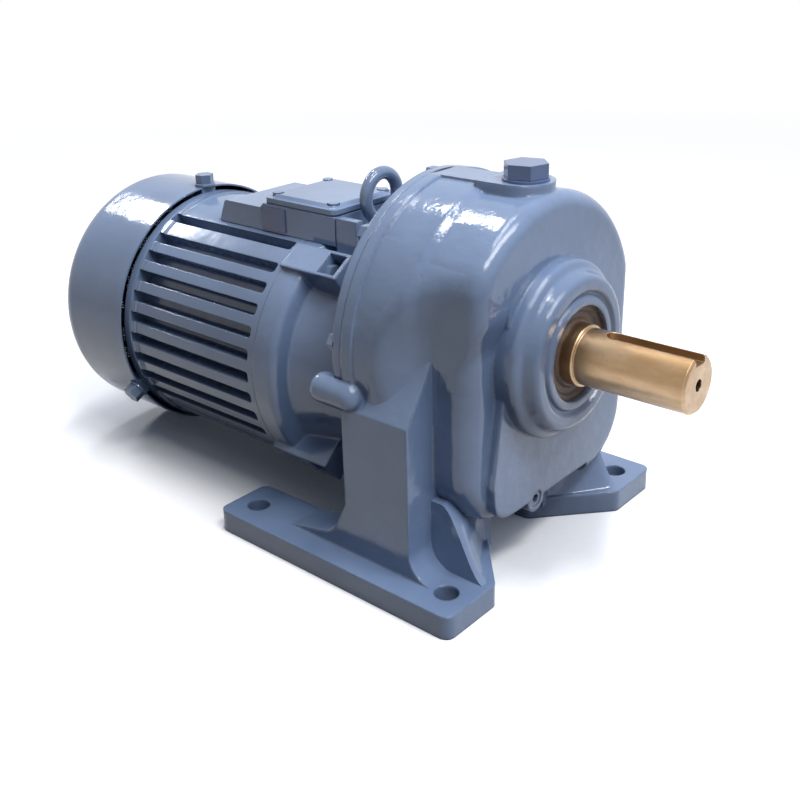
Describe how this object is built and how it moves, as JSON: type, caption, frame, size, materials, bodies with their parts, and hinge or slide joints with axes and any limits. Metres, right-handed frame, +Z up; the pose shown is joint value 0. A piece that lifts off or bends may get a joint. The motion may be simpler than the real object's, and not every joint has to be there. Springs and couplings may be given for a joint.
{
  "type": "foot-mounted helical gear motor",
  "caption": "Foot-mounted fan-cooled motor bolted to a round gear case, with helical gears inside and a keyed output shaft.",
  "frame": {"origin": "centre of the foot bolt pattern on the mounting plane, below the output shaft", "axes": "+X along the shafts, out of the output shaft; +Z up, away from the mounting plane; +Y completes the right hand"},
  "size_m": [0.4484, 0.216, 0.232],
  "materials": {
    "case_paint": "gloss blue-grey enamel on cast iron",
    "frame_paint": "gloss blue-grey enamel on cast aluminium",
    "cover_paint": "gloss blue-grey enamel on pressed steel",
    "box_paint": "gloss blue-grey enamel on cast aluminium",
    "zinc_steel": "painted over with the motor",
    "shaft_steel": "ground steel under amber rust-preventive oil",
    "inner_steel": "machined steel",
    "core_steel": "laminated electrical steel",
    "rotor_aluminium": "as cast",
    "winding_copper": "varnished copper wire",
    "brass": "machined brass",
    "copper_washer": "soft copper",
    "seal_rubber": "dark brown moulded rubber",
    "gasket_fibre": "dark fibre sheet",
    "fan_plastic": "moulded nylon",
    "terminal_plastic": "moulded thermoset"
  },
  "bodies": {
    "housing": {"cable_gland": "brass", "case_bolts": "zinc_steel", "case_gasket": "gasket_fibre", "drain_plug": "zinc_steel", "eyebolt": "zinc_steel", "fan_cover": "cover_paint", "fan_cover_screws": "zinc_steel", "filler_plug": "zinc_steel", "filler_plug_washer": "copper_washer", "gear_case": "case_paint", "gland_locknut": "brass", "layshaft_front_bearing_outer_ring": "inner_steel", "layshaft_rear_bearing_outer_ring": "inner_steel", "motor_adapter": "case_paint", "motor_frame": "frame_paint", "motor_front_bearing_outer_ring": "inner_steel", "motor_oil_seal": "seal_rubber", "motor_rear_bearing_outer_ring": "inner_steel", "output_bearing_circlip": "inner_steel", "output_front_bearing_outer_ring": "inner_steel", "output_oil_seal": "seal_rubber", "output_rear_bearing_outer_ring": "inner_steel", "rear_end_shield": "frame_paint", "side_plate": "box_paint", "stator_core": "core_steel", "stator_windings": "winding_copper", "terminal_block": "terminal_plastic", "terminal_box": "box_paint", "terminal_lid": "box_paint", "terminal_lid_gasket": "gasket_fibre", "terminal_lid_screws": "zinc_steel", "terminal_studs": "brass", "tie_bolts": "zinc_steel", "wave_washer": "inner_steel"},
    "motor_rotor": {"motor_shaft": "inner_steel", "rotor_core": "core_steel", "rotor_end_rings": "rotor_aluminium", "cooling_fan": "fan_plastic", "fan_circlip": "inner_steel", "motor_front_bearing_inner_ring": "inner_steel", "motor_rear_bearing_inner_ring": "inner_steel"},
    "layshaft_assembly": {"layshaft": "inner_steel", "layshaft_gear": "inner_steel", "layshaft_key": "inner_steel", "layshaft_front_bearing_inner_ring": "inner_steel", "layshaft_rear_bearing_inner_ring": "inner_steel"},
    "output_assembly": {"output_shaft": "shaft_steel", "output_gear": "inner_steel", "output_gear_key": "inner_steel", "output_gear_circlip": "inner_steel", "output_front_bearing_inner_ring": "inner_steel", "output_rear_bearing_inner_ring": "inner_steel"}
  },
  "joints": [
    {"name": "motor_spin", "type": "hinge", "parent": "housing", "child": "motor_rotor", "pos_m": [0, 0, 0.096], "axis": [1, 0, 0], "continuous": true},
    {"name": "layshaft_spin", "type": "hinge", "parent": "housing", "child": "layshaft_assembly", "pos_m": [0, 0.03833, 0.10743], "axis": [1, 0, 0], "continuous": true},
    {"name": "output_spin", "type": "hinge", "parent": "housing", "child": "output_assembly", "pos_m": [0, 0, 0.131], "axis": [1, 0, 0], "continuous": true}
  ],
  "couplings": [
    {"joint": "layshaft_spin", "follows": "motor_spin", "ratio": -0.28205},
    {"joint": "output_spin", "follows": "motor_spin", "ratio": 0.080586}
  ]
}
